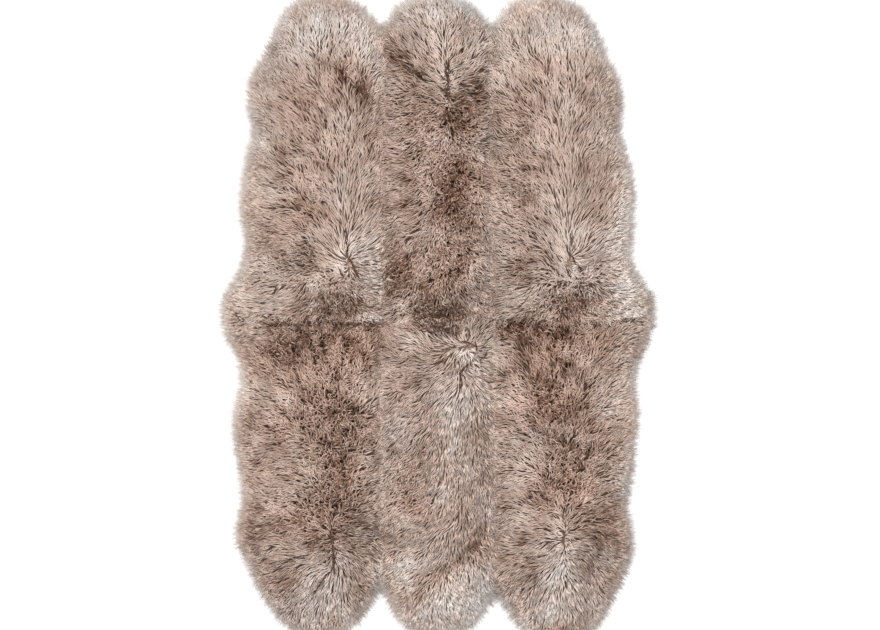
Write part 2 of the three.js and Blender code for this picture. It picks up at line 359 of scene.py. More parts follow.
# Each chart has its places across in millimetres, and a row of headings for each place out.
combing_charts = {
    "top_left": {
        "across": (-260, -170, -105, -60, -12, 12, 38, 77),
        "rows": (
            (16, (196, 204, 224, 245, 275, 295, 318, 330)),
            (36, (176, 192, 212, 240, 280, 300, 330, 345)),
            (58, (178, 205, 218, 262, 300, 300, 330, 345)),
            (80, (186, 208, 214, 275, 318, 310, 335, 348)),
            (99, (190, 196, 192, 330, 310, 300, 340, 355)),
            (121, (186, 190, 185, 160, 200, 290, 350, 360)),
            (148, (184, 184, 172, 150, 165, 340, 360, 365)),
            (176, (182, 178, 160, 145, 150, 385, 390, 385)),
            (209, (178, 172, 155, 138, 125, 410, 405, 390)),
            (245, (176, 168, 150, 128, 108, 425, 412, 395)),
            (300, (172, 162, 145, 118, 98, 440, 425, 405)),
            (382, (160, 155, 137, 115, 98, 446, 430, 408)),
            (478, (150, 146, 132, 115, 102, 450, 432, 412)),
            (588, (145, 142, 128, 118, 112, 430, 420, 404)),
            (698, (132, 126, 112, 104, 96, 442, 428, 412)),
            (820, (118, 108, 92, 86, 82, 438, 434, 428)),
        ),
    },
    "top_right": {
        "across": (-189, -134, -79, -41, -11, 14, 52, 99, 181),
        "rows": (
            (16, (212, 220, 235, 250, 265, 280, 298, 324, 342)),
            (36, (195, 196, 210, 245, 275, 270, 290, 335, 352)),
            (58, (192, 195, 208, 240, 280, 262, 285, 325, 352)),
            (80, (190, 196, 215, 235, 290, 250, 285, 325, 352)),
            (99, (185, 192, 190, 170, 60, 190, 330, 350, 355)),
            (121, (182, 186, 175, 150, 150, 300, 360, 355, 357)),
            (148, (178, 176, 160, 145, 150, 320, 372, 362, 360)),
            (176, (176, 170, 155, 142, 145, 385, 385, 375, 365)),
            (209, (172, 162, 150, 135, 115, 418, 408, 390, 370)),
            (245, (170, 158, 142, 125, 105, 432, 418, 402, 378)),
            (300, (165, 155, 132, 114, 98, 440, 428, 416, 390)),
            (382, (158, 150, 130, 112, 100, 440, 428, 416, 398)),
            (478, (150, 144, 128, 112, 102, 444, 432, 418, 402)),
            (588, (142, 136, 124, 114, 106, 434, 424, 412, 398)),
            (698, (128, 120, 110, 102, 96, 446, 434, 424, 405)),
            (820, (116, 108, 98, 92, 88, 444, 436, 428, 415)),
        ),
    },
    "top_middle": {
        "across": (-160, -110, -55, -10, 10, 55, 115),
        "rows": (
            (20, (210, 225, 245, 266, 274, 300, 320)),
            (75, (216, 232, 250, 268, 278, 296, 320)),
            (130, (228, 235, 250, 268, 280, 300, 320)),
            (200, (222, 230, 250, 266, 278, 310, 322)),
            (300, (184, 196, 226, 260, 278, 290, 327)),
            (380, (181, 190, 222, 260, 280, 300, 330)),
            (470, (180, 188, 226, 258, 282, 312, 345)),
            (520, (180, 184, 215, 246, 292, 322, 350)),
            (560, (180, 182, 200, 220, 316, 338, 354)),
            (605, (180, 180, 184, 192, 346, 352, 357)),
            (640, (176, 172, 168, 172, 370, 368, 366)),
            (680, (164, 158, 150, 150, 390, 390, 384)),
            (715, (150, 142, 130, 116, 424, 416, 400)),
            (770, (140, 132, 120, 99, 441, 422, 408)),
            (850, (128, 122, 112, 95, 445, 430, 420)),
        ),
    },
    "bottom_side": {
        "across": (-260, -170, -95, -45, -10, 10, 60, 120, 200),
        "rows": (
            (20, (182, 165, 138, 112, 96, 88, 60, 45, 0)),
            (75, (170, 150, 126, 110, 96, 88, 62, 42, 5)),
            (150, (162, 140, 125, 105, 94, 86, 56, 30, 12)),
            (230, (178, 170, 150, 122, 98, 84, 68, 26, 18)),
            (330, (177, 174, 150, 122, 98, 84, 60, 20, 20)),
            (430, (178, 174, 160, 137, 100, 78, 45, 12, -4)),
            (512, (180, 176, 168, 150, 112, 70, 35, 6, -8)),
            (550, (182, 180, 175, 165, 140, 48, 18, -2, -12)),
            (590, (184, 184, 180, 176, 166, 22, 6, -10, -18)),
            (620, (188, 190, 192, 192, 190, -6, -14, -20, -24)),
            (655, (194, 198, 204, 206, 212, -32, -34, -34, -32)),
            (690, (204, 208, 214, 220, 234, -54, -50, -44, -42)),
            (730, (214, 218, 226, 238, 254, -70, -62, -52, -48)),
            (780, (224, 230, 240, 252, 264, -82, -72, -60, -54)),
            (830, (236, 242, 250, 260, 268, -88, -78, -64, -56)),
        ),
    },
    "bottom_middle": {
        "across": (-190, -121, -58, -17, 9, 41, 80),
        "rows": (
            (11, (178, 150, 100, 90, 80, 60, 20)),
            (30, (170, 150, 115, 100, 70, 70, 30)),
            (52, (165, 155, 135, 110, 80, 80, 30)),
            (72, (168, 160, 160, 150, 170, 20, 12)),
            (91, (172, 168, 175, 230, 250, 340, 0)),
            (113, (178, 178, 190, 225, 260, 330, 350)),
            (140, (184, 188, 198, 215, 320, 330, 338)),
            (168, (192, 194, 205, 230, 300, 318, 330)),
            (201, (200, 206, 220, 250, 285, 304, 325)),
            (250, (205, 222, 240, 262, 278, 292, 308)),
            (360, (218, 228, 242, 262, 270, 278, 290)),
            (470, (224, 236, 243, 256, 266, 276, 290)),
            (567, (214, 222, 241, 250, 264, 275, 292)),
            (649, (207, 210, 230, 262, 280, 290, 289)),
            (718, (214, 226, 262, 284, 290, 296, 302)),
            (801, (225, 255, 282, 292, 292, 296, 302)),
        ),
    },
}
# Which chart each skin is combed by, and where its parting runs.
combed_skins = {
    "top_left": ("top_left", -250),
    "top_middle": ("top_middle", 25),
    "top_right": ("top_right", 360),
    "bottom_left": ("bottom_side", -291),
    "bottom_middle": ("bottom_middle", 58),
    "bottom_right": ("bottom_side", 349),
}


def mixed(first, second, share):
    """The first with a share of the second mixed in."""
    return first * (1 - share) + second * share


def between(values, stops):
    """The stop before each value, and how far the value lies towards the next."""
    stops = np.array(stops, float)
    before = np.clip(np.searchsorted(stops, values) - 1, 0, len(stops) - 2)
    share = np.clip((values - stops[before]) / (stops[before + 1] - stops[before]), 0, 1)
    return before, share


# Near the rim the wool is drawn outwards, whatever the chart says.
outward_pull = np.clip(0.45 - distance / (60 * mm), 0, 0.9)
combing = {}
parted = {}
for name, (chart, parting) in combed_skins.items():
    # The parting wavers a little as it runs.
    across = place_x / mm - parting + 3 * np.sin(place_y / (9 * mm)) + 2 * np.sin(place_y / (4 * mm))
    row_side = 1 if name.startswith("top") else -1
    out = row_side * (place_y - middle_seam) / mm
    chart_rows = combing_charts[chart]["rows"]
    headings = np.radians([row_headings for _, row_headings in chart_rows])
    column, column_share = between(across, combing_charts[chart]["across"])
    row, row_share = between(out, [place_out for place_out, _ in chart_rows])
    combed = []
    for charted, outward in ((np.cos(headings), outward_x), (np.sin(headings), outward_y)):
        near = mixed(charted[row, column], charted[row, column + 1], column_share)
        far = mixed(charted[row + 1, column], charted[row + 1, column + 1], column_share)
        smooth = blurred(mixed(near, far, row_share), 3)
        combed.append(mixed(smooth, outward, outward_pull))
    # The combing is a vector no longer than one. It is shorter at a parting, where the wool stands up.
    size = np.hypot(*combed) + 1e-6
    share = np.clip(1.3 * size, 0.45, 1)
    combing[name] = (combed[0] / size * share, combed[1] / size * share)
    parted[name] = np.clip(1.6 * blurred(1 - np.clip(size, 0, 1), 2), 0, 1)

# Patches where the wool is lighter or darker, redder or greyer, and curlier than round it. Most are the
# wool's own colour; some dark ones are painted shade, marked where they stand.
# Columns: skin, across from its parting, out, half width, half length, tone, warmth, curl.
patches = (
    ("top_left", -100, 515, 45, 70, -0.3, 0.6, 0.2),
    ("top_left", -190, 650, 45, 60, -0.35, -1.3, 0),
    ("top_left", -60, 810, 110, 60, 0.62, -1.3, 0),
    ("top_left", -90, 750, 60, 40, 0.25, -0.3, 0),
    ("top_left", 105, 90, 30, 90, 0.6, 0, 0),
    ("top_left", -190, 540, 40, 50, 0, -0.6, 0),
    ("top_left", 40, 760, 60, 60, 0.5, -0.6, 0),
    ("top_left", -160, 720, 50, 60, 0, -0.8, 0),
    # The diagonal crease under the pale crest: partly browner, curlier wool, partly painted shade below
    # the crest.
    ("top_left", -58, 702, 30, 18, -0.55, 0.4, 0.4),
    ("top_left", -12, 674, 28, 24, -0.7, 0.6, 0.5),
    ("top_left", 30, 638, 24, 26, -0.65, 0.8, 0.5),
    ("top_left", 52, 602, 20, 24, -0.45, 0.8, 0.4),
    ("top_left", 90, 700, 30, 50, 0.5, -0.3, 0),
    ("top_left", -210, 480, 40, 100, -0.1, -0.5, 0.3),
    ("top_left", -20, 440, 60, 50, -0.05, 0, 0.3),
    ("top_left", -180, 135, 55, 45, -0.2, -0.4, 0.4),
    ("top_left", -230, 80, 80, 50, 0.4, -0.2, 0),
    ("top_left", -100, 165, 40, 38, -0.45, -0.9, 0.5),
    ("top_left", -60, 480, 50, 60, 0.15, -0.3, 0),
    ("top_left", -25, 48, 70, 34, -0.6, 0.3, 0.8),
    ("top_left", 0, 330, 45, 100, 0.12, 0.2, -0.3),
    ("top_left", -5, 205, 60, 65, 0.24, -0.2, -0.3),
    ("top_left", 75, 190, 35, 90, 0.55, 0, -0.2),
    ("top_left", -110, 85, 45, 18, 0.3, 0, -0.3),
    ("top_left", -40, 110, 60, 38, 0, 0, 0.5),
    ("top_left", -90, 320, 60, 90, -0.05, 0.3, 0.4),
    ("top_left", -20, 10, 120, 14, -0.35, 0, 0.3),
    ("top_left", 60, 6, 34, 13, 1.2, 0, -0.5),
    ("top_right", -100, 515, 45, 70, 0.05, 0.3, 0.3),
    ("top_right", -135, 430, 42, 120, -0.3, 0, 0.3),
    ("top_right", -110, 640, 50, 50, -0.15, 0, 0),
    ("top_right", -110, 300, 50, 80, -0.15, 0.2, 0.4),
    ("top_right", 120, 560, 40, 60, -0.15, 0, 0),
    ("top_right", -40, 800, 120, 70, 0.35, -1.6, 0),
    ("top_right", 90, 720, 70, 60, 0.05, -0.6, 0),
    ("top_right", -110, 740, 50, 50, 0, -1, 0),
    ("top_right", 30, 50, 55, 28, -0.5, 0.5, 0.8),
    ("top_right", -50, 45, 50, 34, -0.42, 0, 0.6),
    ("top_right", 70, 190, 50, 60, 0.15, 0, 0),
    ("top_right", -120, 60, 40, 30, 0.4, 0, -0.2),
    ("top_right", 165, 280, 42, 110, 1.3, -0.2, 0),
    ("top_right", 165, 10, 55, 22, 0.7, 0, 0),
    ("top_right", -185, 735, 30, 50, 0.3, -0.5, 0),
    ("top_right", 0, 320, 45, 120, 0.3, 0, -0.3),
    ("top_right", 0, 200, 65, 70, 0.35, -0.4, -0.3),
    ("top_right", -100, 85, 45, 24, 0.3, 0, -0.3),
    ("top_right", 0, 110, 60, 30, 0.15, 0, 0.6),
    ("top_right", -115, 150, 40, 50, -0.25, 0.1, 0.4),
    ("top_right", 160, 90, 50, 80, 1.15, 0.5, -0.2),
    ("top_middle", 36, 560, 50, 50, -0.72, 1, 0.8),
    ("top_middle", -75, 620, 45, 45, -0.4, 0.2, 0.3),
    ("top_middle", -60, 540, 45, 40, 0, 0.4, 0.4),
    ("top_middle", 25, 320, 60, 110, -0.35, 1, 0.9),
    ("top_middle", 30, 430, 45, 60, -0.15, 1, 0.8),
    ("top_middle", -55, 440, 40, 90, 0.15, 0.3, 0.5),
    ("top_middle", -135, 132, 42, 58, -0.75, 1, 0.8),
    ("top_middle", -10, 160, 70, 60, 0.1, 1, 0.9),
    ("top_middle", 105, 65, 40, 35, -0.3, 0.4, 0.5),
    ("top_middle", 115, 205, 30, 65, 0.35, 0.2, 0),
    ("top_middle", 115, 540, 25, 45, 0.35, -0.5, 0),
    ("top_middle", -5, 16, 90, 26, -0.68, 0.4, 0.8),
    ("top_middle", -128, 24, 34, 24, 0.35, -0.2, 0),
    ("top_middle", -68, 52, 38, 42, -0.62, 0.2, 0.6),
    ("top_middle", 75, 30, 18, 12, 0.9, 0, 0),
    ("top_middle", 0, 745, 55, 55, 0.3, -0.5, 0),
    ("top_middle", 0, 850, 90, 50, 0.4, -1.3, 0),
    ("top_middle", 85, 740, 40, 50, 0.55, -0.9, 0),
    ("top_middle", -60, 760, 60, 50, 0, -1, 0),
    ("top_middle", 105, 640, 35, 50, -0.45, 0, 0),
    ("top_middle", -85, 675, 40, 14, -0.4, 0, 0),
    # Painted shadow: the strip just under the middle seam, where the upper row's wool hangs over.
    ("bottom_left", -50, 8, 200, 18, -0.5, 0.3, 0.5),
    ("bottom_left", -90, 75, 100, 60, -0.65, 0.5, 0.7),
    ("bottom_left", 40, 60, 50, 50, 0.05, 0.8, 0.5),
    ("bottom_left", 60, 36, 40, 20, 0.3, 0, 0),
    ("bottom_left", -140, 130, 50, 50, -0.35, 0.3, 0.3),
    ("bottom_left", 0, 260, 75, 105, -0.4, 1, 0.9),
    ("bottom_left", -110, 290, 60, 50, -0.3, 0.6, 0.5),
    ("bottom_left", -265, 200, 50, 70, 0.9, 0, 0),
    ("bottom_left", 90, 210, 50, 70, 0.35, 0, 0),
    ("bottom_left", -136, 225, 40, 40, 0.35, -0.2, 0),
    ("bottom_left", 15, 110, 60, 50, 0, 1, 0.8),
    ("bottom_left", 0, 420, 60, 70, -0.15, 0.9, 0.8),
    ("bottom_left", 60, 330, 40, 50, -0.2, 0.3, 0.3),
    ("bottom_left", 56, 505, 42, 60, -0.22, 0.1, 0),
    ("bottom_left", -50, 530, 90, 55, -0.5, 0.9, 0.8),
    ("bottom_left", -140, 510, 42, 45, 0.35, -0.3, 0.2),
    ("bottom_left", -232, 520, 30, 60, -0.2, 0, 0),
    ("bottom_left", -150, 705, 42, 60, -0.5, 0, 0),
    ("bottom_left", -70, 660, 40, 25, -0.3, -0.5, 0),
    ("bottom_left", -25, 612, 60, 32, -0.4, 0.2, 0.2),
    ("bottom_left", -10, 740, 70, 100, 0.4, -0.6, -0.2),
    ("bottom_left", 70, 690, 30, 50, -0.45, 0.5, 0),
    ("bottom_left", -30, 805, 60, 40, 0.5, 0, 0),
    ("bottom_left", 120, 705, 34, 55, 0.95, -0.4, 0),
    # Painted shadow: the strip just under the middle seam, where the upper row's wool hangs over.
    ("bottom_right", -50, 8, 200, 18, -0.5, 0.3, 0.5),
    ("bottom_right", -130, 30, 90, 40, -0.6, 0.6, 0.7),
    ("bottom_right", 0, 36, 50, 26, -0.65, 0.2, 0.4),
    ("bottom_right", 170, 8, 60, 22, 0.6, 0, 0),
    ("bottom_right", -100, 78, 50, 26, -0.45, 0, 0),
    ("bottom_right", -30, 290, 32, 34, 0.5, 0, 0),
    ("bottom_right", -100, 125, 45, 35, -0.15, 0, 0),
    ("bottom_right", -100, 232, 40, 40, 0.3, 0.2, 0),
    ("bottom_right", -20, 250, 70, 100, -0.6, 1, 0.9),
    ("bottom_right", 10, 90, 60, 50, 0, 1, 0.8),
    ("bottom_right", -140, 200, 30, 60, 0.3, 0.2, 0.2),
    ("bottom_right", 170, 220, 50, 110, 0.7, 0.8, 0),
    ("bottom_right", 175, 330, 45, 60, 0.3, 1.2, 0),
    ("bottom_right", -165, 620, 35, 60, 0.35, 0, 0),
    ("bottom_right", 0, 440, 60, 60, -0.1, 1, 0.7),
    ("bottom_right", -10, 500, 60, 40, -0.1, 0.8, 0.5),
    ("bottom_right", 60, 390, 60, 60, -0.25, 0.2, 0.3),
    ("bottom_right", -115, 600, 45, 40, -0.5, 0, 0),
    ("bottom_right", -105, 705, 40, 40, -0.35, 0, 0),
    ("bottom_right", 90, 590, 45, 50, -0.35, 0, 0.1),
    ("bottom_right", 0, 640, 45, 50, 0.05, -0.4, -0.2),
    ("bottom_right", 0, 760, 80, 90, 0.75, -0.6, -0.2),
    ("bottom_right", 0, 810, 60, 40, 0.3, 0, 0),
    ("bottom_middle", 5, 220, 65, 110, 0.35, -0.2, -0.3),
    ("bottom_middle", -30, 350, 40, 120, 0.45, 0.9, 0),
    ("bottom_middle", -110, 240, 50, 70, 0.2, 0, 0),
    ("bottom_middle", -25, 20, 85, 26, -0.75, 0.2, 0.8),
    ("bottom_middle", -100, 50, 55, 26, 0.05, 0, -0.2),
    ("bottom_middle", -110, 125, 40, 50, -0.15, 0, 0),
    ("bottom_middle", -125, 430, 50, 100, -0.25, 0.9, 0.5),
    ("bottom_middle", 60, 330, 40, 60, -0.25, 0, 0),
    ("bottom_middle", -110, 500, 50, 50, -0.4, 0.3, 0.2),
    ("bottom_middle", -10, 500, 50, 50, 0.3, 0.5, 0),
    ("bottom_middle", -100, 650, 60, 50, 0.35, -0.3, 0),
    # The diagonal crease under the pale crest: partly browner, curlier wool, partly painted shade below
    # the crest.
    ("bottom_middle", -48, 690, 28, 14, -1, 0.8, 0.4),
    ("bottom_middle", -5, 661, 24, 16, -1.1, 0.8, 0.5),
    ("bottom_middle", 33, 628, 22, 20, -1.1, 0.8, 0.5),
    ("bottom_middle", 58, 590, 14, 22, -0.5, 0.5, 0.3),
    ("bottom_middle", 92, 600, 26, 90, 0.7, -0.2, 0),
    ("bottom_middle", -100, 610, 50, 40, 0, 0.6, 0),
    ("bottom_middle", -170, 700, 40, 50, 0.6, 0, 0),
    ("bottom_middle", -110, 765, 14, 34, -0.5, 0, 0),
    ("bottom_middle", 0, 780, 110, 75, 0.95, -0.4, 0),
)
# How much lighter or darker each whole skin is.
skin_tone = {
    "top_left": -0.12,
    "top_middle": -0.16,
    "top_right": -0.13,
    "bottom_left": -0.15,
    "bottom_middle": 0.04,
    "bottom_right": -0.12,
}
random = np.random.default_rng(20251125)


def rolling(size):
    """Soft random hills over the rug, about the given size across, with a spread of one."""
    hills = blurred(random.normal(0, 1, place_x.shape), round((size / cell) ** 2 / 8))
    return hills / hills.std()


tone_hills = 0.11 * rolling(110 * mm) + 0.14 * rolling(42 * mm)
warmth_hills = 0.3 * rolling(120 * mm) + 0.2 * rolling(50 * mm)
# How far the wool wanders from its combing, in degrees.
wander = 10 * rolling(55 * mm) + 8 * rolling(24 * mm)
tone = {name: tone_hills + skin_tone[name] for name in skin_names}
warmth = {name: warmth_hills.copy() for name in skin_names}
curl = {name: np.full(place_x.shape, 0.22) for name in skin_names}
for name, patch_across, patch_out, wide, long, lighter, warmer, curlier in patches:
    across = place_x / mm - combed_skins[name][1]
    out = abs(place_y - middle_seam) / mm
    strength = np.exp(-(((across - patch_across) / wide) ** 2) - ((out - patch_out) / long) ** 2)
    tone[name] += lighter * strength
    warmth[name] += warmer * strength
    curl[name] += curlier * strength
curl = {name: np.clip(wild, 0, 1) for name, wild in curl.items()}
# How much each skin's wool lies on top. It dives under its neighbour's past a seam beside it,
# but the upper row's wool hangs over the lower row's.
skins_in_row = 3
own = {}
for index, name in enumerate(skin_names):
    own_or_below = (skin_of == index) | (skin_of == index + skins_in_row)
    own[name] = blurred(own_or_below.astype(float), 4)


def lie_at(values, x, y):
    """One quality of the wool at places on the rug, in metres, between the grid's cells."""
    column = np.clip((x - grid_x[0]) / cell, 0, len(grid_x) - 1.001)
    row = np.clip((y - grid_y[0]) / cell, 0, len(grid_y) - 1.001)
    left, below = column.astype(int), row.astype(int)
    right_share, up_share = column - left, row - below
    lower = mixed(values[below, left], values[below, left + 1], right_share)
    upper = mixed(values[below + 1, left], values[below + 1, left + 1], right_share)
    return mixed(lower, upper, up_share)


# Wool: the fleece itself, thousands of fine tapered strands on each skin, joined to one mesh.
# They rise from the undercoat and lie along the combing, gathered into small pointed tufts,
# short, dark and curly along the backs and long and pale at the tips and the rim.
strand_spacing = 5.2 * mm
curly_spacing = 8.5 * mm
parting_spacing = 3.2 * mm
rim_spacing = 1.9 * mm
tuft_size = 13 * mm
rim_band = 34 * mm
# No strand lies lower than this, and no point of one sinks below the underside.
lowest_path = 1.6 * mm
lowest_point = 0.8 * mm
# Where two skins meet, the wool of one lies over the wool of the other.
overlap = {
    "top_left": 0.2,
    "top_middle": 0,
    "top_right": 0.2,
    "bottom_left": -0.1,
    "bottom_middle": -0.2,
    "bottom_right": -0.1,
}
strand_stations = np.array((0, 0.4, 0.72, 1))
rim_stations = np.array((0, 0.5, 1))
hair_stations = np.array((0, 1))
strand_shape = {
    "station": strand_stations,
    "lift": (0.5, 0.84, 0.98, 1.03),
    "width": (0.7, 1, 0.8, 0),
    "light": (0.2, 0.44, 0.59, 0.72),
}


def scattered(low, high, spacing):
    """Jittered places over a rectangle, about one spacing apart."""
    across = np.arange(low.x, high.x, spacing)
    along = np.arange(low.y, high.y, spacing)
    x, y = np.meshgrid(across, along)
    x[1::2] += spacing / 2
    x = x.ravel() + random.uniform(-0.45, 0.45, x.size) * spacing
    y = y.ravel() + random.uniform(-0.45, 0.45, y.size) * spacing
    return x, y


def flow(name, x, y, length, heading_change, stations):
    """The path that a strand takes from a root, following the combing of its skin."""
    combed_x, combed_y = combing[name]
    path_x, path_y = [x], [y]
    turn_x, turn_y = np.cos(heading_change), np.sin(heading_change)
    for step in np.diff(stations):
        ahead_x = lie_at(combed_x, path_x[-1], path_y[-1])
        ahead_y = lie_at(combed_y, path_x[-1], path_y[-1])
        path_x.append(path_x[-1] + (ahead_x * turn_x - ahead_y * turn_y) * length * step)
        path_y.append(path_y[-1] + (ahead_x * turn_y + ahead_y * turn_x) * length * step)
    return np.stack(path_x, 1), np.stack(path_y, 1)


tuft_columns = int((grid_x[-1] - grid_x[0]) / tuft_size) + 3
tuft_rows = int((grid_y[-1] - grid_y[0]) / tuft_size) + 3
tuft_place = random.uniform(0.1, 0.9, (tuft_rows, tuft_columns, 2))
tuft_chance = random.uniform(-1, 1, (tuft_rows, tuft_columns, 5))


def nearest_tuft(x, y):
    """The column and row of the tuft that each root belongs to, and the tuft's middle."""
    column = ((x - grid_x[0]) / tuft_size).astype(int)
    row = ((y - grid_y[0]) / tuft_size).astype(int)
    best = np.full(x.shape, np.inf)
    chosen = [column.copy(), row.copy(), x.copy(), y.copy()]
    for side in (-1, 0, 1):
        for up in (-1, 0, 1):
            near_column = np.clip(column + side, 0, tuft_columns - 1)
            near_row = np.clip(row + up, 0, tuft_rows - 1)
            offset = tuft_place[near_row, near_column]
            middle_x = grid_x[0] + (near_column + offset[:, 0]) * tuft_size
            middle_y = grid_y[0] + (near_row + offset[:, 1]) * tuft_size
            gap = np.hypot(middle_x - x, middle_y - y)
            closer = gap < best
            best = np.where(closer, gap, best)
            for kept, new in zip(chosen, (near_column, near_row, middle_x, middle_y)):
                kept[closer] = new[closer]
    return chosen


def built_strands(path, width, light, warm):
    """The points of strands along their paths, ring by ring to the tip, and the points' colours."""
    count, rings = path.shape[0], path.shape[1] - 1
    ahead = np.gradient(path, axis=1)
    ahead /= np.linalg.norm(ahead, axis=2, keepdims=True) + 1e-9
    side = np.stack((-ahead[:, :, 1], ahead[:, :, 0], np.zeros(ahead.shape[:2])), 2)
    side /= np.linalg.norm(side, axis=2, keepdims=True) + 1e-9
    above = np.cross(ahead, side)
    points = np.empty((count, 3 * rings + 1, 3))
    colours = np.empty((count, 3 * rings + 1, 2))
    # Columns: how far a corner lies sideways and up, and how much lighter and warmer it is. The upper
    # corner is painted lighter and the lower two darker: a painted highlight along each strand's top
    # and painted shade beneath it.
    corners = ((-0.5, -0.22, -0.03, -0.02), (0.5, -0.22, -0.03, 0.02), (0, 0.4, 0.04, 0))
    for ring in range(rings):
        size = width[:, ring, None]
        for corner, (sideways, raised, lighter, warmer) in enumerate(corners):
            place = 3 * ring + corner
            offset = side[:, ring] * sideways + above[:, ring] * raised
            points[:, place] = path[:, ring] + size * offset
            colours[:, place, 0] = light[:, ring] + lighter
            colours[:, place, 1] = warm + warmer
    points[:, -1] = path[:, -1]
    colours[:, -1, 0] = light[:, -1]
    colours[:, -1, 1] = warm
    points[:, :, 2] = np.maximum(points[:, :, 2], lowest_point)
    return points, np.clip(colours, 0.01, 0.99)


def grown(name, x, y, length, width, pull, paler, stations):
    """Strands that grow from the given roots, combed with their skin and drawn into tufts."""
    count = len(x)
    column, row, middle_x, middle_y = nearest_tuft(x, y)
    chance = tuft_chance[row, column]
    wild = lie_at(curl[name], x, y)
    by_seam = lie_at(seam, x, y)
    by_parting = lie_at(parted[name], x, y)
    by_rim = np.clip(1 - lie_at(distance, x, y) / rim_band, 0, 1)
    together = 1 - 0.85 * by_rim
    # Each tuft turns a little from the combing, and each of its strands a little more.
    heading_change = np.radians(7 + 40 * wild + 16 * by_seam) * chance[:, 0] * together
    heading_change += np.radians(lie_at(wander, x, y)) * together
    heading_change += random.normal(0, 1, count) * np.radians(4 + 24 * wild + 12 * by_parting)
    length = length * (1 - by_seam * random.uniform(0.3, 1.2, count))
    path_x, path_y = flow(name, x, y, length, heading_change, stations)
    tuft_x, tuft_y = flow(name, middle_x, middle_y, length, heading_change, stations)
    # Towards its tip a strand draws in to the middle of its tuft.
    hold = np.clip(1 - 0.8 * by_parting - 0.35 * wild, 0.1, 1)
    gather = pull * hold[:, None] * stations**1.4
    path_x += (tuft_x - path_x) * gather
    path_y += (tuft_y - path_y) * gather
    # It waves from side to side, more where the wool is curly.
    ahead_x, ahead_y = np.gradient(path_x, axis=1), np.gradient(path_y, axis=1)
    ahead = np.hypot(ahead_x, ahead_y) + 1e-9
    phase = math.pi * (chance[:, 1] + (0.3 + 0.7 * (1 - together)) * random.uniform(-1, 1, count))
    wave_size = (1.3 + 4 * wild) * mm * random.uniform(0.4, 1.2, count)
    wave = wave_size[:, None] * np.sin(phase[:, None] + stations * 2 * math.pi * 0.85)
    path_x -= ahead_y / ahead * wave
    path_y += ahead_x / ahead * wave
    # It rises to the height of the wool, some tufts over others, and dives past a seam.
    lift = np.interp(stations, strand_shape["station"], strand_shape["lift"])
    layer = 0.05 * chance[:, 2] * together + random.normal(0, 0.04, count) + overlap[name] * by_seam
    layer -= 0.08 * wild * random.uniform(0, 1, count)
    past_seam = np.clip(0.55 - lie_at(own[name], path_x, path_y), 0, 1)
    dive = (0.42 + 0.38 * chance[:, 2, None]) * past_seam
    path_z = lie_at(height, path_x, path_y) * (lift + layer[:, None] * stations - dive)
    path = np.stack((path_x, path_y, np.maximum(path_z, lowest_path)), 2)
    ring_width = width[:, None] * np.interp(stations, strand_shape["station"], strand_shape["width"])
    light = np.interp(stations, strand_shape["station"], strand_shape["light"])
    strand_tone = 0.05 * chance[:, 3] * together + random.normal(0, 0.06, count)
    strand_tone = strand_tone * (0.5 + 0.6 * wild) + paler
    # A dark patch is a mix of dark strands and paler ones.
    patch_tone = lie_at(tone[name], path_x, path_y)
    streak = 1 + 0.4 * chance[:, 3] + random.uniform(-0.6, 0.6, count)
    patch_tone = np.where(patch_tone < 0, patch_tone * streak[:, None], patch_tone)
    light = light + 0.42 * patch_tone + strand_tone[:, None]
    paler_base = 0.28 * by_parting + 0.4 * by_rim + 0.24 * (1 - wild)
    light += paler_base[:, None] * (1 - stations) - 0.05 * (1 - wild)[:, None] * stations
    warm = 0.5 + 0.24 * lie_at(warmth[name], x, y) + 0.06 * chance[:, 4] + random.normal(0, 0.05, count)
    return built_strands(path, ring_width, light, warm)
